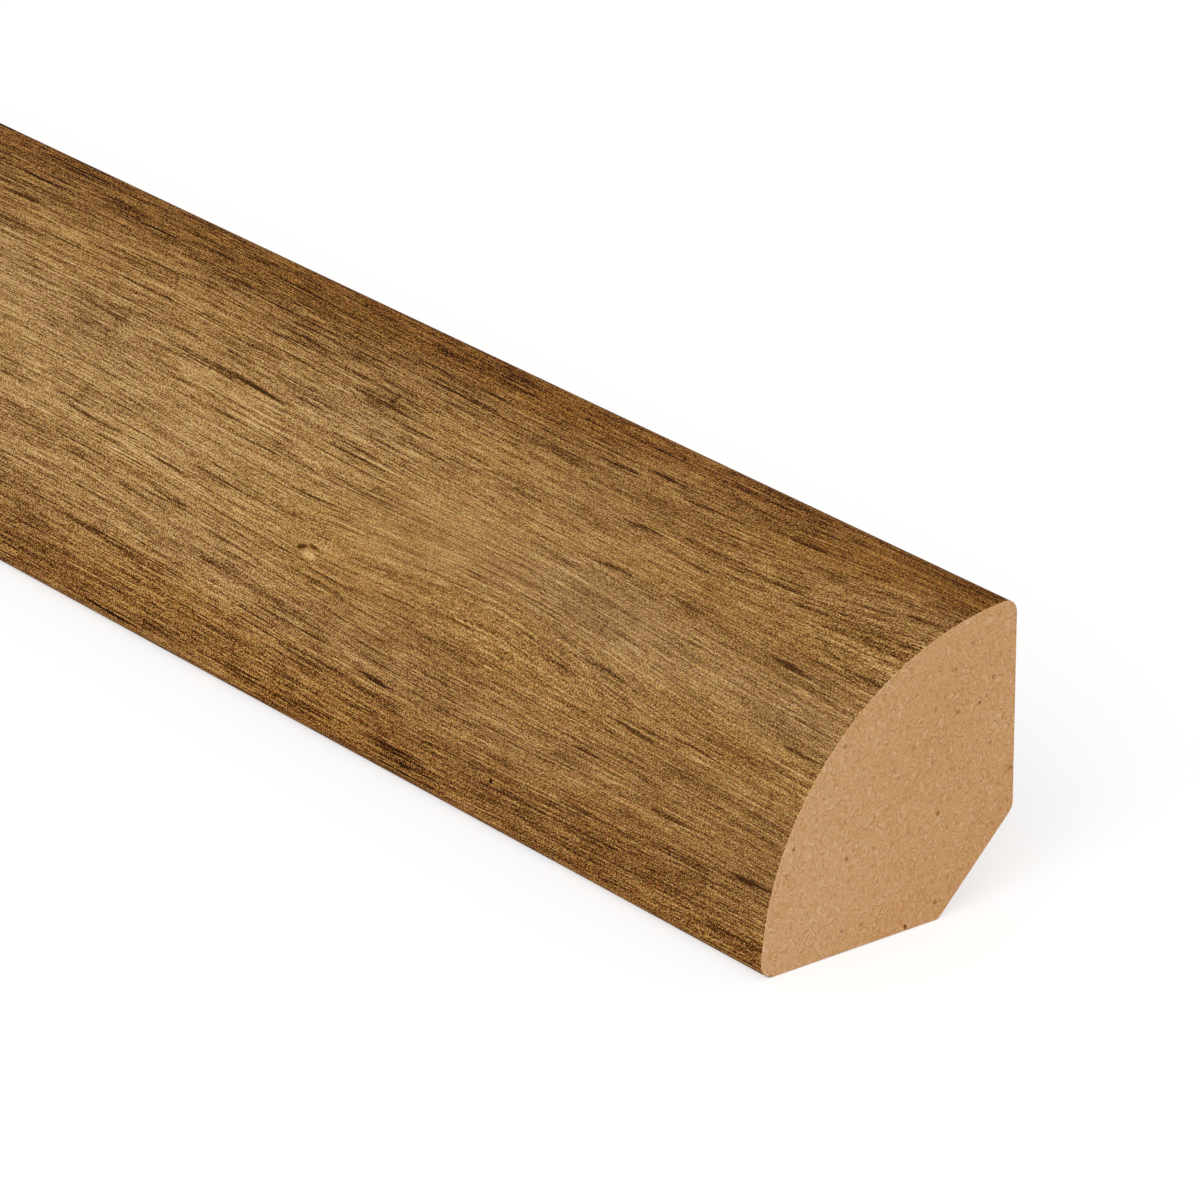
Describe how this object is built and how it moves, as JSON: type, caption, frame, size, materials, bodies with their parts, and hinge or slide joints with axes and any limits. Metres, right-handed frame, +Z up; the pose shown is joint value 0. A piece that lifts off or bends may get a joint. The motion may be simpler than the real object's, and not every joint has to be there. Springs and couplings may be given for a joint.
{
  "type": "quarter round moulding",
  "caption": "Straight quarter round trim of fibreboard with a wood-grain round face and a relieved heel, fitted along the foot of a wall to cover the gap at the floor.",
  "frame": {"origin": "middle of the length and of the width, on the floor face", "axes": "+X along the length, +Y from the toe towards the wall face, +Z up"},
  "size_m": [2.3876, 0.019, 0.019],
  "materials": {
    "moulding": "satin wood-grain decor on the round face, raw tan fibreboard on the cut ends, wall face, heel and floor face"
  },
  "bodies": {
    "root": {"quarter_round_moulding": "moulding"}
  },
  "joints": []
}
